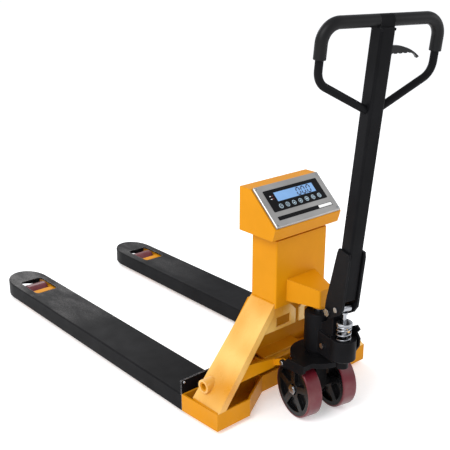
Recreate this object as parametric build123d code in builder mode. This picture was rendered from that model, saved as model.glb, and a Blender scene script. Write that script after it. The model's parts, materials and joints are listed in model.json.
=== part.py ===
"""Pallet truck scale: a hand pallet truck with weighing forks and an indicator console.

Frame: X across the truck, +Y towards the fork tips, +Z up, floor at Z = 0.
While a piece is made, the heel line of the forks is Y = 0; each piece is moved to its place
at rest when it is written.  Pieces that steer are made straight ahead about the steering axis,
and pieces of the handle are made upright about the handle's pivot.
"""

from build123d import *
import os
from math import asin, atan2, cos, degrees, hypot, radians, sin

os.makedirs("parts", exist_ok=True)

# ---------------------------------------------------------------- driving dimensions (mm)
ORIGIN_Y = 359.4          # heel line to the middle of the whole truck

FORK_SPAN = 685.0         # across both forks
FORK_LENGTH = 1220.0
FORK_WIDTH = 152.0
FORK_TOP = 72.0
SKIRT_BOTTOM = 14.0
NOSE_LENGTH = 110.0
COVER_SHEET = 5.0
COVER_BEND = 6.0
UPSTAND_TOP = 118.0       # top of the upright flange across each cover's heel
WINDOW_WIDTH = 92.0
WINDOW_LENGTH = 145.0
WINDOW_Y = 1034.5         # middle of the roller window
WINDOW_CORNER = 16.0

RAIL_X = 55.0             # fork rails, each side of the fork's middle
RAIL_SHEET = 6.0
RAIL_BOTTOM = 16.0
RAIL_TOP = 60.0
RAIL_END = 1126.0
FORK_SHAFT_Y = 910.0      # pivot of the roller bracket
FORK_SHAFT_Z = 26.0
FORK_SHAFT_R = 8.0

CELL_WIDTH = 11.0
CELL_LENGTH = 120.0
CELL_BOTTOM = 22.0
CELL_TOP = 60.0
CELL_Y = (30.0, 985.0)    # heel end of each load cell

PLATE = 6.0               # welded chassis plate
LEG_PLATE = 8.0
LEG_FOOT_X = 331.0        # top face of the sloped leg, at the height of the forks
LEG_FRONT = -160.0
LEG_REAR_LOW = -39.0
LEG_REAR_HIGH = -58.0
LEG_FLANGE = 24.0
LEG_HEAD_Z = 361.0        # where the leg's top face meets the column
FOOT_HEEL_X = 342.5
FOOT_TOE_X = 335.0
FOOT_INNER_X = 203.0
PANEL_Y = -50.0           # user side of the cross panel
LOW_WALL_Y = -85.0
LOW_WALL_X = 80.0

GUSSET_BOTTOM = 266.0
GUSSET_INNER_X = 8.0
GUSSET_CORNER = 32.0
GUSSET_HOLE = (61.0, 33.0)
GUSSET_HOLE_AT = (-61.0, 291.0)
GUSSET_Y = -148.0

COLUMN_WIDTH = 215.5
COLUMN_FRONT = -164.0
COLUMN_REAR = -58.0
COLUMN_BOTTOM = 345.0
COLUMN_TOP = 561.0
COLUMN_SHEET = 3.0

HEAD_WIDTH = 281.0
HEAD_BOTTOM = 573.0
HEAD_TOP = 709.0
HEAD_REAR = -37.0
HEAD_CREST = -82.0        # where the sloped face starts
HEAD_NOSE = -189.0
HEAD_NOSE_TOP = 610.0
HEAD_CHIN = -178.0
HEAD_SHEET = 3.0
COLLAR = 12.0             # neck between column and head

CASE_WIDTH = 272.0
CASE_HEIGHT = 142.0
CASE_FRAME = 8.0
CASE_TUB = (236.0, 108.0, 34.0)
OVERLAY = (225.0, 73.0)
OVERLAY_AT = (0.0, 14.5)
OVERLAY_SHEET = 0.6
LCD = (163.0, 31.5)
LCD_AT = (4.0, 24.0)
KEY_R = 8.5
KEY_GAP = 0.3
KEY_PITCH = 27.0
KEY_Y = -8.0
KEY_COUNT = 7
KEY_TRAVEL = 0.5

STEER_Y = -243.5          # steering axis, from the heel line
STEER_ANGLE = -12.2       # the wheels and handle stand turned at rest
WHEEL_R = 90.0
WHEEL_WIDTH = 49.0
WHEEL_X = 64.0
TREAD = 6.0
WHEEL_AXLE_R = 12.0
SEAT_BOTTOM = 184.0
SEAT_TOP = 200.0
SEAT_R = 84.0
NECK_R = 30.0
TANK_BOTTOM = 212.0
TANK_TOP = 340.0
TANK_R = 44.0
RAM_R = 15.0
RAM_BOTTOM = 222.0
NOSE_BOTTOM = 359.0       # ram bracket on the column's front
NOSE_TOP = 430.0

ROCKER_Y = -72.0
ROCKER_Z = 120.0
ROCKER_R = 15.0
ROD_X = 250.0
LIFT = 110.0
SEAT_PIN_Y = -195.0
SEAT_PIN_Z = 176.0
SEAT_PIN_R = 4.0
ARM_LEAD = 0.43           # degrees the arm stands above the pin at rest, to share the play
SEAT_PIN_PLAY = 1.4       # the rocker follows an arc, the seat a straight line
ROD_LEVER = 29.2
ROCKER_TURN = 48.9        # of the rocker over the whole lift

ROLLER_R = 35.0
ROLLER_WIDTH = 80.0
ROLLER_Y = 1060.0
ROLLER_AXLE_R = 10.0
BRACKET_LEVER = 31.0

PIVOT_Y = -82.0           # handle pivot, from the steering axis
PIVOT_Z = 372.0
SHAFT_R = 9.0
HANDLE_TILT = 6.7
HANDLE_SWING = 62.0
TUBE = 45.0
TUBE_WALL = 3.0
TUBE_Y = -32.0            # tube's middle, from the pivot
TUBE_BOTTOM = 60.0
CROSSBAR = 841.0          # crossbar's middle, from the pivot
LOOP_HALF = 181.5
LOOP_LOW = 699.0
LOOP_JOIN = 617.0
LOOP_R = 10.5
GRIP_R = 16.0
GRIP_END = 756.0
LEVER_Z = 765.0
PISTON_Y = -123.0
PUMP_ARM = 44.0           # handle pivot to pump roller
PUMP_ROLLER_R = 12.0
CUP_R = 38.0
CUP_TOP = 300.0
SPRING_SEAT = 268.0
CAP_BOTTOM = 345.0
CAP_TOP = 352.0

FIT = 0.05                # radial clearance of a running fit
GAP = 0.3                 # between pieces of bodies that pass each other

# ---------------------------------------------------------------- worked out from those
FORK_X = (FORK_SPAN - FORK_WIDTH) / 2
FORK_STRAIGHT = FORK_LENGTH - NOSE_LENGTH
SOFFIT = FORK_TOP - COVER_SHEET
HALF_COLUMN = COLUMN_WIDTH / 2
LEG_RUN = LEG_FOOT_X - HALF_COLUMN
LEG_RISE = LEG_HEAD_Z - FORK_TOP
LEG_ANGLE = atan2(LEG_RISE, LEG_RUN)
LEG_LENGTH = hypot(LEG_RUN, LEG_RISE)

PIN_OUT = SEAT_PIN_Y - ROCKER_Y
PIN_UP = SEAT_PIN_Z - ROCKER_Z
ARM_ANGLE = degrees(atan2(PIN_UP, -PIN_OUT)) + ARM_LEAD
ARM_LONG = max(hypot(PIN_OUT, PIN_UP), hypot(PIN_OUT, PIN_UP - LIFT))
ARM_SHORT = -PIN_OUT
ROD_PIN_Y = ROCKER_Y - ROD_LEVER * sin(radians(ROCKER_TURN / 2))
ROD_PIN_Z = ROCKER_Z - ROD_LEVER * cos(radians(ROCKER_TURN / 2))
BRACKET_ARM = hypot(ROLLER_Y - FORK_SHAFT_Y, ROLLER_R - FORK_SHAFT_Z)
ROLLER_RISE = (ROLLER_R - FORK_SHAFT_Z) / BRACKET_ARM
BRACKET_TURN = degrees(asin((LIFT - ROLLER_R + FORK_SHAFT_Z) / BRACKET_ARM) + asin(ROLLER_RISE))
BRACKET_PIN_Y = FORK_SHAFT_Y - BRACKET_LEVER * sin(radians(BRACKET_TURN / 2))
BRACKET_PIN_Z = FORK_SHAFT_Z + BRACKET_LEVER * cos(radians(BRACKET_TURN / 2))

PUMP_ROLLER_Y = -PUMP_ARM * cos(radians(HANDLE_SWING / 2))
PUMP_ROLLER_Z = PUMP_ARM * sin(radians(HANDLE_SWING / 2))
PISTON_TOP = PIVOT_Z + PUMP_ROLLER_Z - PUMP_ROLLER_R - 2 * GAP

SLOPE_ANGLE = degrees(atan2(HEAD_TOP - HEAD_NOSE_TOP, HEAD_CREST - HEAD_NOSE))
SLOPE_MIDDLE = ((HEAD_CREST + HEAD_NOSE) / 2, (HEAD_TOP + HEAD_NOSE_TOP) / 2)

# ---------------------------------------------------------------- places at rest
CHASSIS = Location((0, -ORIGIN_Y, 0))
STEER = Location((0, STEER_Y - ORIGIN_Y, 0), (0, 0, STEER_ANGLE))
HANDLE = STEER * Location((0, PIVOT_Y, PIVOT_Z), (HANDLE_TILT, 0, 0))
SLOPE = Plane(CHASSIS * Location((0, *SLOPE_MIDDLE), (SLOPE_ANGLE, 0, 0)))
HEAD_SLOPE = Plane(Location((0, *SLOPE_MIDDLE), (SLOPE_ANGLE, 0, 0)))


def save(piece, name, place=CHASSIS):
    """Move a finished piece to its place at rest, name it and write it."""
    placed = piece.part.moved(place)
    placed.label = name
    export_step(placed, f"parts/{name}.step")


# ================================================================ forks
with BuildPart() as fork_cover_left:
    with BuildSketch(Plane.XY.offset(SKIRT_BOTTOM)):
        with Locations((-FORK_X, FORK_STRAIGHT / 2)):
            Rectangle(FORK_WIDTH, FORK_STRAIGHT)
        with Locations((-FORK_X, FORK_STRAIGHT)):
            Ellipse(FORK_WIDTH / 2, NOSE_LENGTH)
    extrude(amount=FORK_TOP - SKIRT_BOTTOM)
    rim = fork_cover_left.faces().sort_by(Axis.Z)[-1].edges()
    fillet(rim.filter_by(lambda edge: edge.center().Y > 1), radius=COVER_BEND)
    with BuildSketch(Plane.XY.offset(SKIRT_BOTTOM)):
        with Locations((-FORK_X, FORK_STRAIGHT / 2 - COVER_SHEET)):
            Rectangle(FORK_WIDTH - 2 * COVER_SHEET, FORK_STRAIGHT + 2 * COVER_SHEET)
        with Locations((-FORK_X, FORK_STRAIGHT)):
            Ellipse(FORK_WIDTH / 2 - COVER_SHEET, NOSE_LENGTH - COVER_SHEET)
    extrude(amount=SOFFIT - SKIRT_BOTTOM, mode=Mode.SUBTRACT)
    with BuildSketch(Plane.XY.offset(SOFFIT)):
        with Locations((-FORK_X, WINDOW_Y)):
            RectangleRounded(WINDOW_WIDTH, WINDOW_LENGTH, WINDOW_CORNER)
    extrude(amount=COVER_SHEET, mode=Mode.SUBTRACT)
    with BuildSketch(Plane.XY.offset(SOFFIT)):
        with Locations((-FORK_X, COVER_SHEET / 2)):
            Rectangle(FORK_WIDTH, COVER_SHEET)
    extrude(amount=UPSTAND_TOP - SOFFIT)

with BuildPart() as fork_cover_right:
    mirror(fork_cover_left.part, about=Plane.YZ)

BRIDGE_Y = (150.0, 620.0, RAIL_END - RAIL_SHEET / 2)
BRIDGE_TOP = 32.0

with BuildPart() as fork_frame_left:
    with BuildSketch(Plane.XY.offset(RAIL_BOTTOM)):
        with Locations((-FORK_X, RAIL_END / 2)):
            with GridLocations(2 * RAIL_X, 1, 2, 1):
                Rectangle(RAIL_SHEET, RAIL_END)
    extrude(amount=RAIL_TOP - RAIL_BOTTOM)
    with BuildSketch(Plane.XY.offset(RAIL_BOTTOM)):
        for bridge_y in BRIDGE_Y:
            with Locations((-FORK_X, bridge_y)):
                Rectangle(2 * RAIL_X, RAIL_SHEET)
    extrude(amount=BRIDGE_TOP - RAIL_BOTTOM)
    with BuildSketch(Plane.YZ.offset(-FORK_X - RAIL_X)):
        with Locations((FORK_SHAFT_Y, FORK_SHAFT_Z)):
            Circle(FORK_SHAFT_R)
    extrude(amount=2 * RAIL_X)

with BuildPart() as fork_frame_right:
    mirror(fork_frame_left.part, about=Plane.YZ)

RAIL_OUTER = RAIL_X + RAIL_SHEET / 2
CELL_X = FORK_X + RAIL_OUTER + CELL_WIDTH / 2
BUTTON_R = 4.5

with BuildPart() as load_cells:
    for side in (-1, 1):
        for cell_y in CELL_Y:
            with BuildSketch(Plane.XY.offset(CELL_BOTTOM)):
                with Locations((side * CELL_X, cell_y + CELL_LENGTH / 2)):
                    Rectangle(CELL_WIDTH, CELL_LENGTH)
            extrude(amount=CELL_TOP - CELL_BOTTOM)
            with BuildSketch(Plane.XY.offset(CELL_TOP)):
                with Locations((side * CELL_X, cell_y + CELL_LENGTH * 0.8)):
                    Circle(BUTTON_R)
            extrude(amount=SOFFIT - CELL_TOP)

SCREW_R = 5.0
SCREW_HEAD = 2.5
SCREW_SPOTS = [(64.0, 109.0), (-60.0, 109.0)]

with BuildPart() as cover_screws:
    with BuildSketch(Plane.XZ):
        with Locations(*[(FORK_X + x, z) for x, z in SCREW_SPOTS]):
            Circle(SCREW_R)
    extrude(amount=SCREW_HEAD, taper=25)
    mirror(about=Plane.YZ)

# ================================================================ welded chassis
ROD_SLOT = (28.0, 38.0)
FOOT_FLOOR = 4.0

with BuildPart() as foot_left:
    with BuildSketch(Plane.XY.offset(SKIRT_BOTTOM)) as foot_plan:
        with BuildLine():
            Polyline(
                (-FOOT_HEEL_X, 0),
                (-FOOT_TOE_X, LEG_FRONT),
                (-FOOT_INNER_X, LEG_FRONT),
                (-FOOT_INNER_X + 13, LEG_FRONT + 11),
                (-LOW_WALL_X, LOW_WALL_Y),
                (-LOW_WALL_X, PANEL_Y),
                (-FOOT_INNER_X + 12, PANEL_Y),
                (-FOOT_INNER_X + 12, 0),
                close=True,
            )
        make_face()
    extrude(amount=FORK_TOP - SKIRT_BOTTOM)
    with BuildSketch(Plane.XY.offset(SKIRT_BOTTOM + FOOT_FLOOR)):
        add(foot_plan.sketch)
        offset(amount=-PLATE, kind=Kind.INTERSECTION, mode=Mode.REPLACE)
    extrude(amount=FORK_TOP, mode=Mode.SUBTRACT)
    with BuildSketch(Plane.XZ.offset(-1)):
        with Locations((-ROD_X, (ROD_SLOT[1] + FORK_TOP) / 2)):
            Rectangle(ROD_SLOT[0], FORK_TOP - ROD_SLOT[1])
    extrude(amount=PLATE + 2, mode=Mode.SUBTRACT)

with BuildPart() as foot_right:
    mirror(foot_left.part, about=Plane.YZ)

BOSS_R = 22.0
BOSS_OUTER_X = 316.0
BOSS_INNER_X = 281.0
LEG_PLANE = Plane(
    origin=(-LEG_FOOT_X, 0, FORK_TOP),
    x_dir=(cos(LEG_ANGLE), 0, sin(LEG_ANGLE)),
    z_dir=(-sin(LEG_ANGLE), 0, cos(LEG_ANGLE)),
)
LEG_OVERRUN = 40.0        # made long, then cut level at the foot and upright at the column


def leg_underside(z):
    """X of the left leg's lower face at a height, just clear of it."""
    along = (z - FORK_TOP) / LEG_RISE * LEG_RUN
    return -LEG_FOOT_X + along + LEG_PLATE / sin(LEG_ANGLE) + GAP / 2


with BuildPart() as leg_left:
    with BuildSketch(LEG_PLANE):
        with BuildLine():
            Polyline(
                (-LEG_OVERRUN, LEG_FRONT),
                (LEG_LENGTH + LEG_OVERRUN, LEG_FRONT),
                (LEG_LENGTH + LEG_OVERRUN, LEG_REAR_HIGH),
                (LEG_LENGTH, LEG_REAR_HIGH),
                (0, LEG_REAR_LOW),
                (-LEG_OVERRUN, LEG_REAR_LOW),
                close=True,
            )
        make_face()
    extrude(amount=-LEG_PLATE)
    with BuildSketch(LEG_PLANE):
        with Locations((LEG_LENGTH / 2, LEG_FRONT + PLATE / 2)):
            Rectangle(LEG_LENGTH + 2 * LEG_OVERRUN, PLATE)
    extrude(amount=-LEG_FLANGE)
    with BuildSketch(Plane.YZ.offset(-BOSS_OUTER_X)):
        with Locations((ROCKER_Y, ROCKER_Z)):
            Circle(BOSS_R)
    extrude(amount=BOSS_OUTER_X - BOSS_INNER_X)
    with BuildSketch(Plane.YZ.offset(-BOSS_OUTER_X - 1)):
        with Locations((ROCKER_Y, ROCKER_Z)):
            Circle(ROCKER_R + FIT)
    extrude(amount=60, mode=Mode.SUBTRACT)
    split(bisect_by=Plane.XY.offset(FORK_TOP), keep=Keep.TOP)
    split(bisect_by=Plane.YZ.offset(-HALF_COLUMN), keep=Keep.BOTTOM)

with BuildPart() as leg_right:
    mirror(leg_left.part, about=Plane.YZ)

PANEL_LOW_X = 205.0
PANEL_KNEE = 218.0
SHELF_X = 84.0
SHELF_TOP = 150.0
SHELF_DROP = 9.0
SHELF_DEPTH = 40.0

with BuildPart() as cross_panel:
    with BuildSketch(Plane.XZ.offset(-PANEL_Y)):
        with BuildLine():
            Polyline(
                (-PANEL_LOW_X, FORK_TOP + GAP),
                (-PANEL_LOW_X, PANEL_KNEE),
                (leg_underside(COLUMN_BOTTOM), COLUMN_BOTTOM),
                (-leg_underside(COLUMN_BOTTOM), COLUMN_BOTTOM),
                (PANEL_LOW_X, PANEL_KNEE),
                (PANEL_LOW_X, FORK_TOP + GAP),
                close=True,
            )
        make_face()
        with Locations((0, (SKIRT_BOTTOM + FORK_TOP + GAP) / 2)):
            Rectangle(2 * LOW_WALL_X, FORK_TOP + GAP - SKIRT_BOTTOM)
    extrude(amount=-PLATE)
    with BuildSketch(Plane.YZ.offset(-SHELF_X)):
        with BuildLine():
            Polyline(
                (PANEL_Y, SHELF_TOP),
                (PANEL_Y - SHELF_DEPTH, SHELF_TOP - SHELF_DROP),
                (PANEL_Y - SHELF_DEPTH, SHELF_TOP - SHELF_DROP - PLATE),
                (PANEL_Y, SHELF_TOP - PLATE),
                close=True,
            )
        make_face()
    extrude(amount=2 * SHELF_X)
    with BuildSketch(Plane.YZ.offset(-LOW_WALL_X)):
        with BuildLine():
            Polyline(
                (PANEL_Y, SKIRT_BOTTOM),
                (LOW_WALL_Y, SKIRT_BOTTOM),
                (LOW_WALL_Y, FORK_TOP),
                (LOW_WALL_Y + PLATE, FORK_TOP),
                (LOW_WALL_Y + PLATE, SKIRT_BOTTOM + PLATE),
                (PANEL_Y, SKIRT_BOTTOM + PLATE),
                close=True,
            )
        make_face()
    extrude(amount=2 * LOW_WALL_X)

with BuildPart() as front_gussets:
    with BuildSketch(Plane.XZ.offset(-GUSSET_Y)):
        with BuildLine():
            Polyline(
                (leg_underside(GUSSET_BOTTOM), GUSSET_BOTTOM),
                (-GUSSET_INNER_X, GUSSET_BOTTOM),
                (-GUSSET_INNER_X, COLUMN_BOTTOM - GUSSET_CORNER),
                (-GUSSET_INNER_X - GUSSET_CORNER, COLUMN_BOTTOM),
                (leg_underside(COLUMN_BOTTOM), COLUMN_BOTTOM),
                close=True,
            )
        make_face()
        with Locations(GUSSET_HOLE_AT):
            Rectangle(*GUSSET_HOLE, mode=Mode.SUBTRACT)
    extrude(amount=PLATE)
    mirror(about=Plane.YZ)

NOSE_HALF = 26.0
NOSE_ROOT = 62.0
NOSE_FALL = 16.0          # top falls this much from column to nose
NOSE_REACH = 24.0         # past the steering axis, towards the user
SOCKET_R = 22.0
SOCKET_BOTTOM = 350.0

with BuildPart() as ram_bracket:
    with BuildSketch(Plane.XY.offset(NOSE_BOTTOM)):
        with BuildLine():
            Polyline(
                (-NOSE_ROOT, COLUMN_FRONT),
                (-NOSE_HALF, STEER_Y - NOSE_REACH),
                (NOSE_HALF, STEER_Y - NOSE_REACH),
                (NOSE_ROOT, COLUMN_FRONT),
                close=True,
            )
        make_face()
    extrude(amount=NOSE_TOP - NOSE_BOTTOM)
    with BuildSketch(Plane.YZ.offset(-NOSE_ROOT)):
        with BuildLine():
            Polyline(
                (COLUMN_FRONT, NOSE_TOP),
                (STEER_Y - NOSE_REACH - 1, NOSE_TOP - NOSE_FALL),
                (STEER_Y - NOSE_REACH - 1, NOSE_TOP + 1),
                (COLUMN_FRONT, NOSE_TOP + 1),
                close=True,
            )
        make_face()
    extrude(amount=2 * NOSE_ROOT, mode=Mode.SUBTRACT)
    fillet(ram_bracket.edges().filter_by(Axis.Z).group_by(Axis.Y)[0], radius=6)
    with BuildSketch(Plane.XY.offset(SOCKET_BOTTOM)):
        with Locations((0, STEER_Y)):
            Circle(SOCKET_R)
    extrude(amount=NOSE_BOTTOM - SOCKET_BOTTOM)
    with BuildSketch(Plane.XY.offset(SOCKET_BOTTOM)):
        with Locations((0, STEER_Y)):
            Circle(RAM_R)
    extrude(amount=30, mode=Mode.SUBTRACT)

with BuildPart() as ram:
    with BuildSketch(Plane.XY.offset(RAM_BOTTOM)):
        with Locations((0, STEER_Y)):
            Circle(RAM_R)
    extrude(amount=SOCKET_BOTTOM + 30 - RAM_BOTTOM)
    chamfer(ram.edges().group_by(Axis.Z)[0], length=2)

# ================================================================ console
COLUMN_MIDDLE = (0, (COLUMN_FRONT + COLUMN_REAR) / 2)
COLUMN_DEPTH = COLUMN_REAR - COLUMN_FRONT
CABLE_HOLE_R = 20.0

with BuildPart() as console_column:
    with BuildSketch(Plane.XY.offset(COLUMN_BOTTOM)):
        with Locations(COLUMN_MIDDLE):
            Rectangle(COLUMN_WIDTH, COLUMN_DEPTH)
    extrude(amount=COLUMN_TOP - COLUMN_BOTTOM)
    fillet(console_column.edges().filter_by(Axis.Z), radius=4)
    with BuildSketch(Plane.XY.offset(COLUMN_BOTTOM + COLUMN_SHEET)):
        with Locations(COLUMN_MIDDLE):
            Rectangle(COLUMN_WIDTH - 2 * COLUMN_SHEET, COLUMN_DEPTH - 2 * COLUMN_SHEET)
    extrude(amount=COLUMN_TOP - COLUMN_BOTTOM - 2 * COLUMN_SHEET, mode=Mode.SUBTRACT)
    with BuildSketch(Plane.XY.offset(COLUMN_TOP)):
        with Locations(COLUMN_MIDDLE):
            Rectangle(COLUMN_WIDTH - 16, COLUMN_DEPTH - 16)
            Rectangle(COLUMN_WIDTH - 40, COLUMN_DEPTH - 40, mode=Mode.SUBTRACT)
    extrude(amount=COLLAR)
    with BuildSketch(Plane.XY.offset(COLUMN_TOP - COLUMN_SHEET)):
        with Locations(COLUMN_MIDDLE):
            Circle(CABLE_HOLE_R)
    extrude(amount=COLUMN_SHEET, mode=Mode.SUBTRACT)

with BuildPart() as console_head:
    with BuildSketch(Plane.YZ.offset(-HEAD_WIDTH / 2)):
        with BuildLine():
            Polyline(
                (HEAD_REAR, HEAD_BOTTOM),
                (HEAD_REAR, HEAD_TOP),
                (HEAD_CREST, HEAD_TOP),
                (HEAD_NOSE, HEAD_NOSE_TOP),
                (HEAD_CHIN, HEAD_BOTTOM),
                close=True,
            )
        make_face()
    extrude(amount=HEAD_WIDTH)
    fillet(console_head.edges().filter_by(Axis.X).group_by(Axis.Y)[0], radius=4)
    with BuildSketch(Plane.YZ.offset(-HEAD_WIDTH / 2 + HEAD_SHEET)):
        with BuildLine():
            Polyline(
                (HEAD_REAR + 1, HEAD_BOTTOM + HEAD_SHEET),
                (HEAD_REAR + 1, HEAD_TOP - HEAD_SHEET),
                (HEAD_CREST - 1, HEAD_TOP - HEAD_SHEET),
                (HEAD_NOSE + HEAD_SHEET + 1, HEAD_NOSE_TOP - 1),
                (HEAD_CHIN + HEAD_SHEET, HEAD_BOTTOM + HEAD_SHEET),
                close=True,
            )
        make_face()
    extrude(amount=HEAD_WIDTH - 2 * HEAD_SHEET, mode=Mode.SUBTRACT)
    with BuildSketch(HEAD_SLOPE):
        Rectangle(CASE_TUB[0] + 4, CASE_TUB[1] + 4)
    extrude(amount=-12, mode=Mode.SUBTRACT)
    with BuildSketch(Plane.XY.offset(HEAD_BOTTOM)):
        with Locations(COLUMN_MIDDLE):
            Circle(CABLE_HOLE_R)
    extrude(amount=HEAD_SHEET, mode=Mode.SUBTRACT)

BACK_GAP = 0.4

with BuildPart() as console_back:
    with BuildSketch(Plane.XZ.offset(-HEAD_REAR)):
        with Locations((0, (HEAD_BOTTOM + HEAD_TOP) / 2)):
            Rectangle(HEAD_WIDTH - 2 * HEAD_SHEET - BACK_GAP,
                      HEAD_TOP - HEAD_BOTTOM - 2 * HEAD_SHEET - BACK_GAP)
    extrude(amount=HEAD_SHEET)
    fillet(console_back.edges().filter_by(Axis.Y), radius=1.5)

TUB_WALL = 2.0
POCKET = 3.6              # depth of the pockets in the case's face

with BuildPart() as indicator_case:
    with BuildSketch():
        RectangleRounded(CASE_WIDTH, CASE_HEIGHT, 4)
    extrude(amount=CASE_FRAME)
    chamfer(indicator_case.faces().sort_by(Axis.Z)[-1].edges(), length=2)
    with BuildSketch():
        Rectangle(CASE_TUB[0], CASE_TUB[1])
        Rectangle(CASE_TUB[0] - 2 * TUB_WALL, CASE_TUB[1] - 2 * TUB_WALL, mode=Mode.SUBTRACT)
    extrude(amount=-CASE_TUB[2])
    with BuildSketch(Plane.XY.offset(CASE_FRAME)):
        with Locations(LCD_AT):
            Rectangle(*LCD)
        with Locations((LCD_AT[0], KEY_Y)):
            with GridLocations(KEY_PITCH, 1, KEY_COUNT, 1):
                Circle(KEY_R + KEY_GAP)
    extrude(amount=-POCKET, mode=Mode.SUBTRACT)

with BuildPart() as indicator_overlay:
    with BuildSketch(Plane.XY.offset(CASE_FRAME)):
        with Locations(OVERLAY_AT):
            RectangleRounded(*OVERLAY, 3)
        with Locations(LCD_AT):
            Rectangle(*LCD, mode=Mode.SUBTRACT)
        with Locations((LCD_AT[0], KEY_Y)):
            with GridLocations(KEY_PITCH, 1, KEY_COUNT, 1):
                Circle(KEY_R + KEY_GAP, mode=Mode.SUBTRACT)
    extrude(amount=OVERLAY_SHEET)

with BuildPart() as lcd_window:
    with BuildSketch(Plane.XY.offset(CASE_FRAME - POCKET)):
        with Locations(LCD_AT):
            Rectangle(*LCD)
    extrude(amount=POCKET + OVERLAY_SHEET)

KEY_DEPTH = 2.4
KEY_PROUD = 1.3

with BuildPart() as membrane_key:
    with BuildSketch(Plane.XY.offset(CASE_FRAME + KEY_PROUD - KEY_DEPTH)):
        Circle(KEY_R)
    extrude(amount=KEY_DEPTH)
    fillet(membrane_key.edges().group_by(Axis.Z)[-1], radius=0.8)

with BuildPart() as circuit_board:
    with BuildSketch(Plane.XY.offset(-24)):
        Rectangle(CASE_TUB[0] - 3 * TUB_WALL, CASE_TUB[1] - 3 * TUB_WALL)
    extrude(amount=1.6)
    with BuildSketch(Plane.XY.offset(-22.4)):
        with Locations((-70, 20), (20, -18), (74, 24)):
            Rectangle(34, 24)
    extrude(amount=6)

BATTERY = (150.0, 64.0, 94.0)

with BuildPart() as battery:
    with BuildSketch(Plane.XY.offset(COLUMN_BOTTOM + COLUMN_SHEET)):
        with Locations(COLUMN_MIDDLE):
            Rectangle(BATTERY[0], BATTERY[1])
    extrude(amount=BATTERY[2])
    fillet(battery.edges().filter_by(Axis.Z), radius=4)
    with BuildSketch(Plane.XY.offset(COLUMN_BOTTOM + COLUMN_SHEET + BATTERY[2])):
        with Locations(COLUMN_MIDDLE):
            with GridLocations(90, 1, 2, 1):
                Rectangle(12, 8)
    extrude(amount=8)

with BuildPart() as cable_gland:
    with BuildSketch(Plane.XZ.offset(-COLUMN_REAR)):
        with Locations((70, COLUMN_BOTTOM + 40)):
            RegularPolygon(13, 6)
    extrude(amount=-6)
    with BuildSketch(Plane.XZ.offset(-COLUMN_REAR - 6)):
        with Locations((70, COLUMN_BOTTOM + 40)):
            Circle(9)
            Circle(4.5, mode=Mode.SUBTRACT)
    extrude(amount=-12)

# ================================================================ pump seat (lifts, does not steer)
LUG_INNER = 99.0
LUG_PLATE = 8.0
LUG_R = 10.0
WING_NEAR = 16.5          # wings run from here to WING_FAR, user side of the steering axis
WING_FAR = -44.0
CHEEK_BOTTOM = 168.0

with BuildPart() as pump_seat:
    with BuildSketch(Plane.XY.offset(SEAT_BOTTOM)):
        with Locations((0, STEER_Y)):
            Circle(SEAT_R)
        with Locations((0, STEER_Y + (WING_NEAR + WING_FAR) / 2)):
            Rectangle(2 * (LUG_INNER + LUG_PLATE), WING_NEAR - WING_FAR)
        with Locations((0, STEER_Y)):
            Circle(NECK_R + FIT, mode=Mode.SUBTRACT)
    extrude(amount=SEAT_TOP - SEAT_BOTTOM)
    fillet(pump_seat.edges().filter_by(Axis.Z).group_by(Axis.Y)[0], radius=12)
    for edge_x in (-LUG_INNER - LUG_PLATE, LUG_INNER):
        with BuildSketch(Plane.YZ.offset(edge_x)):
            with BuildLine():
                Polyline(
                    (SEAT_PIN_Y, SEAT_PIN_Z - LUG_R),
                    (STEER_Y + WING_NEAR, CHEEK_BOTTOM),
                    (STEER_Y + WING_FAR + 10, CHEEK_BOTTOM),
                    (STEER_Y + WING_FAR, CHEEK_BOTTOM + 10),
                    (STEER_Y + WING_FAR, SEAT_TOP),
                    (STEER_Y + WING_NEAR, SEAT_TOP),
                    (STEER_Y + WING_NEAR + 14, SEAT_TOP - 4),
                    (STEER_Y + WING_NEAR + 21, SEAT_BOTTOM + 4),
                    (SEAT_PIN_Y - 8, SEAT_PIN_Z + 5),
                    (SEAT_PIN_Y, SEAT_PIN_Z + LUG_R),
                    close=True,
                )
            make_face()
            with Locations((SEAT_PIN_Y, SEAT_PIN_Z)):
                Circle(LUG_R)
                Circle(SEAT_PIN_R, mode=Mode.SUBTRACT)
        extrude(amount=LUG_PLATE)

PIN_HEAD = (6.5, 3.0)
PIN_INNER = 91.0

with BuildPart() as seat_pins:
    with BuildSketch(Plane.YZ.offset(PIN_INNER)):
        with Locations((SEAT_PIN_Y, SEAT_PIN_Z)):
            Circle(SEAT_PIN_R)
    extrude(amount=LUG_INNER + LUG_PLATE - PIN_INNER)
    with BuildSketch(Plane.YZ.offset(LUG_INNER + LUG_PLATE)):
        with Locations((SEAT_PIN_Y, SEAT_PIN_Z)):
            Circle(PIN_HEAD[0])
    extrude(amount=PIN_HEAD[1])
    chamfer(seat_pins.edges().group_by(Axis.X)[-1], length=1)
    mirror(about=Plane.YZ)

# ================================================================ rocker and push rods
LEVER_PLATE = 5.0
ROD_PLATE = 8.0
ROCKER_END = 314.0
ARM_INNER = 92.0
ARM_PLATE = 6.2
ARM_TIP_R = 8.5
ARM_ROOT_R = 14.0
BAR_Y = -144.0
BAR_BOTTOM = 139.0
BAR_PLATE = 8.0
BAR_TOP = (186.0, 168.0)  # at the leg, at the lug
BAR_X = (244.0, 208.0)    # end of the bar, at its bottom and top
ROD_PIN_R = 5.0
ARM_PLANE = Plane(
    origin=(ARM_INNER, ROCKER_Y, ROCKER_Z),
    x_dir=(0, -cos(radians(ARM_ANGLE)), sin(radians(ARM_ANGLE))),
    z_dir=(1, 0, 0),
)

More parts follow.
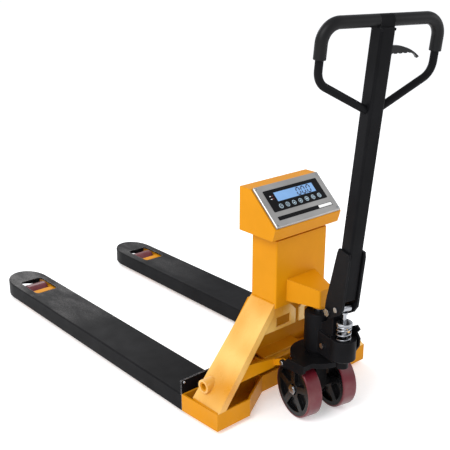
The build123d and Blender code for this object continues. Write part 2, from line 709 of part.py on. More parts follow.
with BuildPart() as rocker:
    with BuildSketch(Plane.YZ.offset(-ROCKER_END)):
        with Locations((ROCKER_Y, ROCKER_Z)):
            Circle(ROCKER_R)
            Circle(ROCKER_R - 5, mode=Mode.SUBTRACT)
    extrude(amount=2 * ROCKER_END)
    for inner_x in (ROD_X - ROD_PLATE / 2 - GAP - LEVER_PLATE, ROD_X + ROD_PLATE / 2 + GAP):
        with BuildSketch(Plane.YZ.offset(inner_x)):
            with BuildLine():
                Polyline(
                    (ROD_PIN_Y - 9, ROD_PIN_Z),
                    (BAR_Y, BAR_BOTTOM),
                    (BAR_Y, BAR_BOTTOM + 8),
                    (ROCKER_Y, ROCKER_Z + ROCKER_R + 4),
                    (ROCKER_Y + ROCKER_R + 4, ROCKER_Z),
                    (ROD_PIN_Y + 9, ROD_PIN_Z),
                    close=True,
                )
            make_face()
            with Locations((ROCKER_Y, ROCKER_Z)):
                Circle(ROCKER_R + 4)
                Circle(ROCKER_R - 1, mode=Mode.SUBTRACT)
            with Locations((ROD_PIN_Y, ROD_PIN_Z)):
                Circle(9)
        extrude(amount=LEVER_PLATE)
    with BuildSketch(Plane.YZ.offset(ROD_X - ROD_PLATE / 2 - GAP)):
        with Locations((ROD_PIN_Y, ROD_PIN_Z)):
            Circle(ROD_PIN_R)
    extrude(amount=ROD_PLATE + 2 * GAP)
    with BuildSketch(ARM_PLANE):
        with BuildLine():
            Polyline(
                (0, ARM_ROOT_R),
                (ARM_LONG, ARM_TIP_R),
                (ARM_LONG, -ARM_TIP_R),
                (0, -ARM_ROOT_R),
                close=True,
            )
        make_face()
        with Locations((ARM_LONG, 0)):
            Circle(ARM_TIP_R)
        Circle(ROCKER_R + 5)
        Circle(ROCKER_R - 1, mode=Mode.SUBTRACT)
        with Locations(((ARM_LONG + ARM_SHORT) / 2, 0)):
            SlotCenterToCenter(ARM_LONG - ARM_SHORT + 1, 2 * (SEAT_PIN_R + SEAT_PIN_PLAY),
                               mode=Mode.SUBTRACT)
    extrude(amount=ARM_PLATE)
    with BuildSketch(Plane.XZ.offset(-BAR_Y)):
        with BuildLine():
            Polyline(
                (ARM_INNER, BAR_BOTTOM),
                (BAR_X[0], BAR_BOTTOM),
                (BAR_X[1], BAR_TOP[0]),
                (ARM_INNER, BAR_TOP[1]),
                close=True,
            )
        make_face()
    extrude(amount=BAR_PLATE)
    mirror(about=Plane.YZ)

ROD_Z = BRACKET_PIN_Z
ROD_TUBE_R = 6.0
ROD_EYE = (43.5, 66.0)    # bottom and top of the rod's front eye
ROD_EYE_LENGTH = 26.0

with BuildPart() as push_rod_left:
    with BuildSketch(Plane.YZ.offset(-ROD_X - ROD_PLATE / 2)):
        with BuildLine():
            Polyline(
                (ROD_PIN_Y - 9, ROD_PIN_Z),
                (ROD_PIN_Y - 9, ROD_Z - 7),
                (-14, ROD_Z - 7),
                (-14, ROD_Z + 7),
                (ROD_PIN_Y + 22, ROD_Z + 8),
                (ROD_PIN_Y + 9, ROD_PIN_Z),
                close=True,
            )
        make_face()
        with Locations((ROD_PIN_Y, ROD_PIN_Z)):
            Circle(9)
            Circle(ROD_PIN_R + FIT, mode=Mode.SUBTRACT)
        with Locations((BRACKET_PIN_Y, (ROD_EYE[0] + ROD_EYE[1]) / 2)):
            Rectangle(ROD_EYE_LENGTH, ROD_EYE[1] - ROD_EYE[0])
        with Locations((BRACKET_PIN_Y, BRACKET_PIN_Z + 2.7)):
            SlotCenterToCenter(5.4, 9.2, rotation=90, mode=Mode.SUBTRACT)
    extrude(amount=ROD_PLATE)
    with BuildSketch(Plane.XZ.offset(15)):
        with Locations((-ROD_X, ROD_Z)):
            Circle(ROD_TUBE_R)
    extrude(amount=-(BRACKET_PIN_Y - ROD_EYE_LENGTH / 2 + 16))

with BuildPart() as push_rod_right:
    mirror(push_rod_left.part, about=Plane.YZ)

# ================================================================ load rollers
SIDE_INNER = 41.5         # bracket side plates, from the fork's middle
SIDE_PLATE = 7.0
SIDE_R = 22.0
SLEEVE_R = 13.0
EAR_PLATE = 5.0
EAR_R = 8.0
BRACKET_PIN_R = 4.0
BRIDGE_BAR = (986.0, 1014.0)
BRIDGE_BAR_Z = (48.0, 62.0)
EAR_GAP = ROD_PLATE / 2 + 0.5

with BuildPart() as roller_bracket_left:
    for plate_x in (-FORK_X - SIDE_INNER - SIDE_PLATE, -FORK_X + SIDE_INNER):
        with BuildSketch(Plane.YZ.offset(plate_x)):
            with BuildLine():
                Polyline(
                    (FORK_SHAFT_Y, FORK_SHAFT_Z - SIDE_R),
                    (BRIDGE_BAR[0], FORK_SHAFT_Z - SIDE_R + 6),
                    (ROLLER_Y, ROLLER_R - SIDE_R + 4),
                    (ROLLER_Y, ROLLER_R + SIDE_R - 4),
                    (BRIDGE_BAR[1], BRIDGE_BAR_Z[1]),
                    (BRIDGE_BAR[0], BRIDGE_BAR_Z[1]),
                    (FORK_SHAFT_Y, FORK_SHAFT_Z + SIDE_R),
                    close=True,
                )
            make_face()
            with Locations((FORK_SHAFT_Y, FORK_SHAFT_Z)):
                Circle(SIDE_R)
            with Locations((ROLLER_Y, ROLLER_R)):
                Circle(SIDE_R - 4)
                Circle(ROLLER_AXLE_R, mode=Mode.SUBTRACT)
            with Locations((FORK_SHAFT_Y, FORK_SHAFT_Z)):
                Circle(FORK_SHAFT_R + FIT, mode=Mode.SUBTRACT)
        extrude(amount=SIDE_PLATE)
    with BuildSketch(Plane.YZ.offset(-FORK_X - SIDE_INNER)):
        with Locations((FORK_SHAFT_Y, FORK_SHAFT_Z)):
            Circle(SLEEVE_R)
            Circle(FORK_SHAFT_R + FIT, mode=Mode.SUBTRACT)
        with Locations(((BRIDGE_BAR[0] + BRIDGE_BAR[1]) / 2, sum(BRIDGE_BAR_Z) / 2)):
            Rectangle(BRIDGE_BAR[1] - BRIDGE_BAR[0], BRIDGE_BAR_Z[1] - BRIDGE_BAR_Z[0])
    extrude(amount=2 * SIDE_INNER)
    for ear_x in (-ROD_X - EAR_GAP - EAR_PLATE, -ROD_X + EAR_GAP):
        with BuildSketch(Plane.YZ.offset(ear_x)):
            with BuildLine():
                Polyline(
                    (FORK_SHAFT_Y - SLEEVE_R + 1, FORK_SHAFT_Z),
                    (FORK_SHAFT_Y + SLEEVE_R - 1, FORK_SHAFT_Z),
                    (BRACKET_PIN_Y + EAR_R, BRACKET_PIN_Z),
                    (BRACKET_PIN_Y - EAR_R, BRACKET_PIN_Z),
                    close=True,
                )
            make_face()
            with Locations((BRACKET_PIN_Y, BRACKET_PIN_Z)):
                Circle(EAR_R)
            with Locations((FORK_SHAFT_Y, FORK_SHAFT_Z)):
                Circle(FORK_SHAFT_R + FIT, mode=Mode.SUBTRACT)
        extrude(amount=EAR_PLATE)
    with BuildSketch(Plane.YZ.offset(-ROD_X - EAR_GAP)):
        with Locations((BRACKET_PIN_Y, BRACKET_PIN_Z)):
            Circle(BRACKET_PIN_R)
    extrude(amount=2 * EAR_GAP)

with BuildPart() as roller_bracket_right:
    mirror(roller_bracket_left.part, about=Plane.YZ)

with BuildPart() as roller_axle_left:
    with BuildSketch(Plane.YZ.offset(-FORK_X - SIDE_INNER - SIDE_PLATE)):
        with Locations((ROLLER_Y, ROLLER_R)):
            Circle(ROLLER_AXLE_R)
    extrude(amount=2 * (SIDE_INNER + SIDE_PLATE))

with BuildPart() as roller_axle_right:
    mirror(roller_axle_left.part, about=Plane.YZ)

with BuildPart() as load_roller_left:
    with BuildSketch(Plane.YZ.offset(-FORK_X - ROLLER_WIDTH / 2)):
        with Locations((ROLLER_Y, ROLLER_R)):
            Circle(ROLLER_R)
            Circle(ROLLER_AXLE_R + FIT, mode=Mode.SUBTRACT)
    extrude(amount=ROLLER_WIDTH)
    fillet(load_roller_left.edges().filter_by(GeomType.CIRCLE).sort_by(SortBy.RADIUS)[-2:], radius=4)

with BuildPart() as load_roller_right:
    mirror(load_roller_left.part, about=Plane.YZ)

# ================================================================ steering unit
BLOCK_TOP = SEAT_BOTTOM - 0.5
BLOCK_HALF = (20.0, 24.0)
SPACER = (17.0, 38.5)     # radius and half-length
SHOULDER_R = 38.0

with BuildPart() as pump_base:
    with BuildSketch(Plane.XY.offset(WHEEL_R)):
        Rectangle(2 * BLOCK_HALF[0], 2 * BLOCK_HALF[1])
    extrude(amount=BLOCK_TOP - WHEEL_R)
    with BuildSketch(Plane.YZ.offset(-BLOCK_HALF[0])):
        with Locations((0, WHEEL_R)):
            Circle(BLOCK_HALF[1])
    extrude(amount=2 * BLOCK_HALF[0])
    with BuildSketch(Plane.YZ.offset(-SPACER[1])):
        with Locations((0, WHEEL_R)):
            Circle(SPACER[0])
    extrude(amount=2 * SPACER[1])
    with BuildSketch(Plane.XY.offset(BLOCK_TOP)):
        Circle(NECK_R)
    extrude(amount=SEAT_TOP + 0.5 - BLOCK_TOP)
    with BuildSketch(Plane.XY.offset(SEAT_TOP + 0.5)):
        Circle(SHOULDER_R)
    extrude(amount=TANK_BOTTOM - SEAT_TOP - 0.5)
    with BuildSketch(Plane.YZ.offset(-SPACER[1])):
        with Locations((0, WHEEL_R)):
            Circle(WHEEL_AXLE_R)
    extrude(amount=2 * SPACER[1], mode=Mode.SUBTRACT)

AXLE_END = 95.0
CAP_NUT_R = 17.0

with BuildPart() as steer_axle:
    with BuildSketch(Plane.YZ.offset(WHEEL_X + WHEEL_WIDTH / 2 - 4)):
        with Locations((0, WHEEL_R)):
            RegularPolygon(CAP_NUT_R, 6)
    extrude(amount=8)
    chamfer(steer_axle.faces().sort_by(Axis.X)[-1].edges(), length=1)
    mirror(about=Plane.YZ)
    with BuildSketch(Plane.YZ.offset(-AXLE_END)):
        with Locations((0, WHEEL_R)):
            Circle(WHEEL_AXLE_R)
    extrude(amount=2 * AXLE_END)

HUB_R = WHEEL_R - TREAD
DISH_R = 72.0
DISH = 13.0
BOSS = 26.0
HUB_FACE = WHEEL_X + WHEEL_WIDTH / 2
SPOKES = 5
SPOKE = 20.0

with BuildPart() as steer_hub_left:
    with BuildSketch(Plane.YZ.offset(-HUB_FACE + 1)):
        with Locations((0, WHEEL_R)):
            Circle(HUB_R)
            Circle(WHEEL_AXLE_R + FIT, mode=Mode.SUBTRACT)
    extrude(amount=WHEEL_WIDTH - 2)
    for dish_x in (-HUB_FACE, -HUB_FACE + WHEEL_WIDTH - DISH):
        with BuildSketch(Plane.YZ.offset(dish_x)):
            with Locations((0, WHEEL_R)):
                Circle(DISH_R)
                Circle(BOSS, mode=Mode.SUBTRACT)
                with PolarLocations(DISH_R / 2 + BOSS / 2, SPOKES, start_angle=15):
                    Rectangle(DISH_R, SPOKE, mode=Mode.SUBTRACT)
        extrude(amount=DISH, mode=Mode.SUBTRACT)
    with BuildSketch(Plane.YZ.offset(-HUB_FACE)):
        with Locations((0, WHEEL_R)):
            Circle(CAP_NUT_R + 1.5)
    extrude(amount=5, mode=Mode.SUBTRACT)

with BuildPart() as steer_hub_right:
    mirror(steer_hub_left.part, about=Plane.YZ)

with BuildPart() as steer_tread_left:
    with BuildSketch(Plane.YZ.offset(-HUB_FACE)):
        with Locations((0, WHEEL_R)):
            Circle(WHEEL_R)
            Circle(HUB_R, mode=Mode.SUBTRACT)
    extrude(amount=WHEEL_WIDTH)
    rims = steer_tread_left.edges().filter_by(GeomType.CIRCLE).sort_by(SortBy.RADIUS)
    fillet(rims[-2:], radius=4)

with BuildPart() as steer_tread_right:
    mirror(steer_tread_left.part, about=Plane.YZ)

WEB_HALF = 28.0
WEB = (222.0, 292.0)
LUG_HALF = (20.0, 14.0)   # upright lug that carries the handle: across, and fore and aft
CUP_BOTTOM = 238.0
BORE_BOSS = (18.0, 206.0)  # radius and lower end of the piston's bore
BORE_BOTTOM = 210.0
CUP_BORE_R = 25.5
PISTON_R = 10.0

with BuildPart() as pump_body:
    with BuildSketch(Plane.XY.offset(TANK_BOTTOM)):
        Circle(TANK_R)
    extrude(amount=TANK_TOP - TANK_BOTTOM)
    fillet(pump_body.edges().group_by(Axis.Z)[-1], radius=9)
    fillet(pump_body.edges().group_by(Axis.Z)[0], radius=5)
    with BuildSketch(Plane.XY.offset(WEB[0])):
        with Locations((0, PISTON_Y / 2)):
            Rectangle(2 * WEB_HALF, -PISTON_Y)
    extrude(amount=WEB[1] - WEB[0])
    with BuildSketch(Plane.XY.offset(CUP_BOTTOM)):
        with Locations((0, PISTON_Y)):
            Circle(CUP_R)
    extrude(amount=CUP_TOP - CUP_BOTTOM)
    with BuildSketch(Plane.XY.offset(CUP_BOTTOM)):
        with Locations((0, PISTON_Y)):
            Circle(CUP_R - 3)
    extrude(amount=-8, taper=40)
    with BuildSketch(Plane.XY.offset(BORE_BOSS[1])):
        with Locations((0, PISTON_Y)):
            Circle(BORE_BOSS[0])
    extrude(amount=CUP_BOTTOM - BORE_BOSS[1])
    with BuildSketch(Plane.YZ.offset(-LUG_HALF[0])):
        with Locations((PIVOT_Y, (WEB[1] + PIVOT_Z) / 2 - 10)):
            Rectangle(2 * LUG_HALF[1], PIVOT_Z - WEB[1] + 20)
        with Locations((PIVOT_Y, PIVOT_Z)):
            Circle(LUG_HALF[1])
            Circle(SHAFT_R, mode=Mode.SUBTRACT)
        with BuildLine():
            Polyline(
                (PIVOT_Y + LUG_HALF[1], WEB[1] - 5),
                (-TANK_R + 6, WEB[1] - 5),
                (-TANK_R + 6, TANK_TOP - 24),
                (PIVOT_Y + LUG_HALF[1], TANK_TOP - 2),
                close=True,
            )
        make_face()
    extrude(amount=2 * LUG_HALF[0])
    with BuildSketch(Plane.XY.offset(SPRING_SEAT)):
        with Locations((0, PISTON_Y)):
            Circle(CUP_BORE_R)
    extrude(amount=CUP_TOP - SPRING_SEAT, mode=Mode.SUBTRACT)
    with BuildSketch(Plane.XY.offset(BORE_BOTTOM)):
        with Locations((0, PISTON_Y)):
            Circle(PISTON_R + FIT)
    extrude(amount=SPRING_SEAT - BORE_BOTTOM, mode=Mode.SUBTRACT)
    with BuildSketch(Plane.XY.offset(RAM_BOTTOM - 4)):
        Circle(RAM_R + FIT)
    extrude(amount=TANK_TOP, mode=Mode.SUBTRACT)

BOLT_HEX = 9.0
BOLT_SPOTS = [(-62.0, 254.0), (-30.0, 226.0), (-88.0, 232.0)]

with BuildPart() as pump_bolts:
    with BuildSketch(Plane.YZ.offset(-WEB_HALF)):
        with Locations(BOLT_SPOTS[0]):
            RegularPolygon(BOLT_HEX, 6)
    extrude(amount=-7)
    with BuildSketch(Plane.YZ.offset(WEB_HALF)):
        with Locations(*BOLT_SPOTS[::2]):
            RegularPolygon(BOLT_HEX - 2, 6)
    extrude(amount=6)

VALVE_X = 39.0
VALVE_PLATE = 5.0
VALVE_FOOT = (-112.0, 250.0)

with BuildPart() as valve_lever:
    with BuildSketch(Plane.YZ.offset(VALVE_X)):
        with BuildLine():
            Polyline(
                (VALVE_FOOT[0] + 14, VALVE_FOOT[1] - 8),
                (VALVE_FOOT[0] + 10, 318),
                (PISTON_Y - 8, 336),
                (PISTON_Y - 22, 326),
                (PISTON_Y - 10, 312),
                (PISTON_Y - 24, 298),
                (PISTON_Y - 22, 272),
                (VALVE_FOOT[0] - 12, VALVE_FOOT[1] - 10),
                close=True,
            )
        make_face()
    extrude(amount=VALVE_PLATE)
    with BuildSketch(Plane.YZ.offset(WEB_HALF)):
        with Locations((-86, 266)):
            Circle(6)
    extrude(amount=VALVE_X - WEB_HALF)
    with BuildSketch(Plane.YZ.offset(VALVE_X)):
        with Locations((-96, 266)):
            Circle(12)
    extrude(amount=VALVE_PLATE)

CHEEK_INNER = 22.5
CHEEK_PLATE = 7.0
SHAFT_HEAD = 7.0

with BuildPart() as handle_shaft:
    with BuildSketch(Plane.YZ.offset(-CHEEK_INNER - CHEEK_PLATE - GAP)):
        Circle(SHAFT_R)
    extrude(amount=2 * (CHEEK_INNER + CHEEK_PLATE + GAP))
    for head_x in (-CHEEK_INNER - CHEEK_PLATE - GAP - SHAFT_HEAD, CHEEK_INNER + CHEEK_PLATE + GAP):
        with BuildSketch(Plane.YZ.offset(head_x)):
            RegularPolygon(SHAFT_R + 3.5, 6)
        extrude(amount=SHAFT_HEAD)

# ================================================================ pump piston
PISTON_IN = 12.0

with BuildPart() as pump_piston:
    with BuildSketch(Plane.XY.offset(SPRING_SEAT - PISTON_IN)):
        Circle(PISTON_R)
    extrude(amount=PISTON_IN)
    with BuildSketch(Plane.XY.offset(SPRING_SEAT)):
        Circle(8)
    extrude(amount=CAP_BOTTOM - SPRING_SEAT)
    with BuildSketch(Plane.XY.offset(CAP_BOTTOM)):
        Circle(24)
    extrude(amount=CAP_TOP - CAP_BOTTOM)
    fillet(pump_piston.edges().group_by(Axis.Z)[-1], radius=2.5)
    with BuildSketch(Plane.XY.offset(CAP_TOP)):
        Circle(5.5)
    extrude(amount=PISTON_TOP - 5 - CAP_TOP)
    with BuildSketch(Plane.XY.offset(PISTON_TOP - 5)):
        Circle(9)
    extrude(amount=5)

SPRING_R = 20.5
SPRING_WIRE = 2.5
SPRING_TURNS = 5
SPRING_LENGTH = CAP_BOTTOM - SPRING_SEAT - 2 * SPRING_WIRE

with BuildPart() as pump_spring:
    with BuildLine(Plane.XY.offset(SPRING_SEAT + SPRING_WIRE)):
        coil = Helix(pitch=SPRING_LENGTH / SPRING_TURNS, height=SPRING_LENGTH, radius=SPRING_R)
    with BuildSketch(Plane(origin=coil @ 0, z_dir=coil % 0)):
        Circle(SPRING_WIRE)
    sweep()

# ================================================================ handle
CHEEK_TOP = 212.0
LOCAL_ROLLER = Location((0, 0, 0), (-HANDLE_TILT, 0, 0)) * Location(
    (0, PUMP_ROLLER_Y, PUMP_ROLLER_Z))
ROLLER_AT = (LOCAL_ROLLER.position.Y, LOCAL_ROLLER.position.Z)
ROLLER_PIN_R = 5.0
TUBE_FRONT = TUBE_Y - TUBE / 2
TUBE_BACK = TUBE_Y + TUBE / 2

with BuildPart() as handle_bracket:
    for cheek_x in (-CHEEK_INNER - CHEEK_PLATE, CHEEK_INNER):
        with BuildSketch(Plane.YZ.offset(cheek_x)):
            with BuildLine():
                Polyline(
                    (TUBE_FRONT - 2, CHEEK_TOP),
                    (TUBE_BACK, CHEEK_TOP),
                    (TUBE_BACK + 4, CHEEK_TOP - 14),
                    (17, 30),
                    (17, 0),
                    (0, -17),
                    (-12, -14),
                    (ROLLER_AT[0] - 12, ROLLER_AT[1] - 13),
                    (TUBE_FRONT - 6, 38),
                    (TUBE_FRONT - 6, CHEEK_TOP - 16),
                    close=True,
                )
            make_face()
            with Locations((0, 0)):
                Circle(17)
                Circle(SHAFT_R + FIT, mode=Mode.SUBTRACT)
            with Locations(ROLLER_AT):
                Circle(ROLLER_PIN_R, mode=Mode.SUBTRACT)
        extrude(amount=CHEEK_PLATE)
    with BuildSketch(Plane.XZ.offset(-TUBE_BACK)):
        with Locations((0, 78)):
            Rectangle(2 * CHEEK_INNER, 36)
    extrude(amount=-4)

with BuildPart() as roller_pin:
    with BuildSketch(Plane.YZ.offset(-CHEEK_INNER - CHEEK_PLATE - 5)):
        with Locations(ROLLER_AT):
            Circle(8)
    extrude(amount=5)
    with BuildSketch(Plane.YZ.offset(-CHEEK_INNER - CHEEK_PLATE)):
        with Locations(ROLLER_AT):
            Circle(ROLLER_PIN_R)
    extrude(amount=2 * (CHEEK_INNER + CHEEK_PLATE) + 3)

PUMP_ROLLER_HALF = 18.0

with BuildPart() as pump_roller:
    with BuildSketch(Plane.YZ.offset(-PUMP_ROLLER_HALF)):
        with Locations(ROLLER_AT):
            Circle(PUMP_ROLLER_R)
            Circle(ROLLER_PIN_R + FIT, mode=Mode.SUBTRACT)
    extrude(amount=2 * PUMP_ROLLER_HALF)
    chamfer(pump_roller.edges().filter_by(GeomType.CIRCLE).sort_by(SortBy.RADIUS)[-2:], length=1)

HEAD_BLOCK = 22.0
LEVER_SLOT = (LEVER_Z - 28.0, LEVER_Z + 26.0)
LEVER_PIVOT_X = 6.0
LEVER_PIN_R = 4.0

with BuildPart() as handle_tube:
    with BuildSketch(Plane.XY.offset(TUBE_BOTTOM)):
        with Locations((0, TUBE_Y)):
            RectangleRounded(TUBE, TUBE, 7)
            RectangleRounded(TUBE - 2 * TUBE_WALL, TUBE - 2 * TUBE_WALL, 4, mode=Mode.SUBTRACT)
    extrude(amount=CROSSBAR - GRIP_R - TUBE_BOTTOM)
    with BuildSketch(Plane.YZ.offset(-HEAD_BLOCK)):
        with Locations((TUBE_Y, CROSSBAR)):
            Circle(GRIP_R)
        with Locations((TUBE_Y, CROSSBAR - GRIP_R / 2)):
            Rectangle(2 * GRIP_R, GRIP_R)
        with Locations((TUBE_Y, CROSSBAR - GRIP_R - 3)):
            Rectangle(TUBE, 6)
        with Locations((TUBE_Y, CROSSBAR)):
            Circle(LOOP_R, mode=Mode.SUBTRACT)
    extrude(amount=2 * HEAD_BLOCK)
    with BuildSketch(Plane.YZ.offset(TUBE / 2 - TUBE_WALL - 1)):
        with Locations((TUBE_Y, sum(LEVER_SLOT) / 2)):
            Rectangle(14, LEVER_SLOT[1] - LEVER_SLOT[0])
    extrude(amount=TUBE_WALL + 4, mode=Mode.SUBTRACT)
    with BuildSketch(Plane.XZ.offset(-TUBE_BACK)):
        with Locations((LEVER_PIVOT_X, LEVER_Z)):
            Circle(LEVER_PIN_R)
    extrude(amount=TUBE)

LOOP_DIP = TUBE / 4 * (LOOP_LOW - LOOP_JOIN) / (LOOP_HALF - TUBE / 2)

with BuildPart() as handle_loop:
    with BuildLine(Plane.XZ.offset(-TUBE_Y)):
        FilletPolyline(
            (-TUBE / 4, LOOP_JOIN - LOOP_DIP),
            (-LOOP_HALF, LOOP_LOW),
            (-LOOP_HALF, CROSSBAR),
            (LOOP_HALF, CROSSBAR),
            (LOOP_HALF, LOOP_LOW),
            (TUBE / 4, LOOP_JOIN - LOOP_DIP),
            radius=48,
        )
    with BuildSketch(Plane.YZ.offset(0)):
        with Locations((TUBE_Y, CROSSBAR)):
            Circle(LOOP_R)
    sweep()
    with BuildSketch(Plane.XY.offset(LOOP_JOIN - 40)):
        with Locations((0, TUBE_Y)):
            Rectangle(TUBE, TUBE)
    extrude(amount=80, mode=Mode.SUBTRACT)

with BuildPart() as grips:
    with BuildLine(Plane.XZ.offset(-TUBE_Y)):
        FilletPolyline(
            (HEAD_BLOCK + 0.5, CROSSBAR),
            (LOOP_HALF, CROSSBAR),
            (LOOP_HALF, GRIP_END),
            radius=48,
        )
    with BuildSketch(Plane.YZ.offset(HEAD_BLOCK + 0.5)):
        with Locations((TUBE_Y, CROSSBAR)):
            Circle(GRIP_R)
            Circle(LOOP_R, mode=Mode.SUBTRACT)
    sweep()
    mirror(about=Plane.YZ)

LEVER_REACH = 126.0
LEVER_THICK = 9.0

with BuildPart() as release_lever:
    with BuildSketch(Plane.XZ.offset(-TUBE_Y - LEVER_THICK / 2)):
        with BuildLine():
            upper = ThreePointArc((LEVER_PIVOT_X, LEVER_Z + 9), (78, LEVER_Z + 6),
                                  (LEVER_REACH, LEVER_Z - 20))
            Line(upper @ 1, (LEVER_REACH - 6, LEVER_Z - 24))
            lower = ThreePointArc((LEVER_REACH - 6, LEVER_Z - 24), (108, LEVER_Z - 13),
                                  (94, LEVER_Z - 9))
            Line(lower @ 1, (LEVER_PIVOT_X, LEVER_Z - 9))
            Line((LEVER_PIVOT_X, LEVER_Z - 9), upper @ 0)
        make_face()
        with Locations((LEVER_PIVOT_X, LEVER_Z)):
            Circle(9)
        with Locations((40, LEVER_Z - 11), (56, LEVER_Z - 11), (72, LEVER_Z - 11), (88, LEVER_Z - 11)):
            Circle(4.5, mode=Mode.SUBTRACT)
        with Locations((LEVER_PIVOT_X, LEVER_Z)):
            Circle(LEVER_PIN_R + FIT, mode=Mode.SUBTRACT)
    extrude(amount=LEVER_THICK)

# ================================================================ write every piece
for name, piece in {
    "fork_cover_left": fork_cover_left,
    "fork_cover_right": fork_cover_right,
    "fork_frame_left": fork_frame_left,
    "fork_frame_right": fork_frame_right,
    "load_cells": load_cells,
    "cover_screws": cover_screws,
    "foot_left": foot_left,
    "foot_right": foot_right,
    "leg_left": leg_left,
    "leg_right": leg_right,
    "cross_panel": cross_panel,
    "front_gussets": front_gussets,
    "ram_bracket": ram_bracket,
    "ram": ram,
    "console_column": console_column,
    "console_head": console_head,
    "console_back": console_back,
    "battery": battery,
    "cable_gland": cable_gland,
    "pump_seat": pump_seat,
    "seat_pins": seat_pins,
    "rocker": rocker,
    "push_rod_left": push_rod_left,
    "push_rod_right": push_rod_right,
    "roller_bracket_left": roller_bracket_left,
    "roller_bracket_right": roller_bracket_right,
    "roller_axle_left": roller_axle_left,
    "roller_axle_right": roller_axle_right,
    "load_roller_left": load_roller_left,
    "load_roller_right": load_roller_right,
}.items():
    save(piece, name)

for name, piece in {
    "indicator_case": indicator_case,
    "indicator_overlay": indicator_overlay,
    "lcd_window": lcd_window,
    "circuit_board": circuit_board,
}.items():
    save(piece, name, SLOPE.location)

for number in range(KEY_COUNT):
    key_x = LCD_AT[0] + (number - (KEY_COUNT - 1) / 2) * KEY_PITCH
    save(membrane_key, f"key_{number + 1}", SLOPE.location * Location((key_x, KEY_Y, 0)))

for name, piece in {
    "pump_base": pump_base,
    "pump_body": pump_body,
    "pump_bolts": pump_bolts,
    "valve_lever": valve_lever,
    "steer_axle": steer_axle,
    "steer_hub_left": steer_hub_left,
    "steer_hub_right": steer_hub_right,
    "steer_tread_left": steer_tread_left,
    "steer_tread_right": steer_tread_right,
}.items():
    save(piece, name, STEER)

for name, piece in {
    "pump_piston": pump_piston,
    "pump_spring": pump_spring,
}.items():
    save(piece, name, STEER * Location((0, PISTON_Y, 0)))

for name, piece in {
    "handle_shaft": handle_shaft,
    "handle_bracket": handle_bracket,
    "roller_pin": roller_pin,
    "pump_roller": pump_roller,
    "handle_tube": handle_tube,
    "handle_loop": handle_loop,
    "grips": grips,
    "release_lever": release_lever,
}.items():
    save(piece, name, HANDLE)
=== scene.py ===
"""Pallet truck scale: materials, printed details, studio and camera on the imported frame."""

import json
import math

import bmesh
import bpy
from mathutils import Matrix, Vector


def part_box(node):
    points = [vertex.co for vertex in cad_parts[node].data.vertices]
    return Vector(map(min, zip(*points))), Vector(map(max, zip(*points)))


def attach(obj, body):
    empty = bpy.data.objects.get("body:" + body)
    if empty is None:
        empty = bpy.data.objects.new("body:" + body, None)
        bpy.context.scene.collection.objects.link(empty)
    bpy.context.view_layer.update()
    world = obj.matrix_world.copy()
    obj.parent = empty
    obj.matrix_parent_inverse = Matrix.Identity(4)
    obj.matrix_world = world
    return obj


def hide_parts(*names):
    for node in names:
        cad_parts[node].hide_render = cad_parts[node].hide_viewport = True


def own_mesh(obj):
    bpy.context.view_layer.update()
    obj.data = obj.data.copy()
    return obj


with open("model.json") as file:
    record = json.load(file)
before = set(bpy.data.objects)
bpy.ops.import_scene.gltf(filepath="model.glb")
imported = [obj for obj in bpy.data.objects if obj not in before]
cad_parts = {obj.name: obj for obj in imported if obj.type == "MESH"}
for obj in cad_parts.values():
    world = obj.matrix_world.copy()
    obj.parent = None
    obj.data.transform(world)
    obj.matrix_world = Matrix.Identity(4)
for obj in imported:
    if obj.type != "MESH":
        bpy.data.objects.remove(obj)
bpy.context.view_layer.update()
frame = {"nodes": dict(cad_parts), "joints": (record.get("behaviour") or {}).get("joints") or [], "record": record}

JOINTS = {j["name"]: j for j in frame["joints"]}
BODIES = frame["record"]["behaviour"]["bodies"]


# ------------------------------------------------------------------ materials
def link(tree, a, b):
    tree.links.new(a, b)


def node(tree, kind, **values):
    made = tree.nodes.new(kind)
    for key, value in values.items():
        setattr(made, key, value)
    return made


def noise(tree, coords, scale, detail=4.0, stretch=(1, 1, 1), roughness=0.55):
    mapping = node(tree, "ShaderNodeMapping")
    mapping.inputs["Scale"].default_value = stretch
    link(tree, coords, mapping.inputs["Vector"])
    texture = node(tree, "ShaderNodeTexNoise")
    texture.inputs["Scale"].default_value = scale
    texture.inputs["Detail"].default_value = detail
    texture.inputs["Roughness"].default_value = roughness
    link(tree, mapping.outputs["Vector"], texture.inputs["Vector"])
    return texture.outputs["Fac"]


def remap(tree, value, low, high, to_low, to_high):
    out = node(tree, "ShaderNodeMapRange")
    out.inputs["From Min"].default_value = low
    out.inputs["From Max"].default_value = high
    out.inputs["To Min"].default_value = to_low
    out.inputs["To Max"].default_value = to_high
    link(tree, value, out.inputs["Value"])
    return out.outputs["Result"]


def math_node(tree, operation, a, b):
    out = node(tree, "ShaderNodeMath", operation=operation)
    for index, value in enumerate((a, b)):
        if isinstance(value, (int, float)):
            out.inputs[index].default_value = value
        else:
            link(tree, value, out.inputs[index])
    return out.outputs[0]


def mix_colour(tree, factor, a, b):
    out = node(tree, "ShaderNodeMix", data_type="RGBA")
    sockets = [s for s in out.inputs if s.type == "RGBA"]
    link(tree, factor, out.inputs[0])
    for socket, value in zip(sockets, (a, b)):
        if isinstance(value, (tuple, list)):
            socket.default_value = (*value[:3], 1.0)
        else:
            link(tree, value, socket)
    return [s for s in out.outputs if s.type == "RGBA"][0]


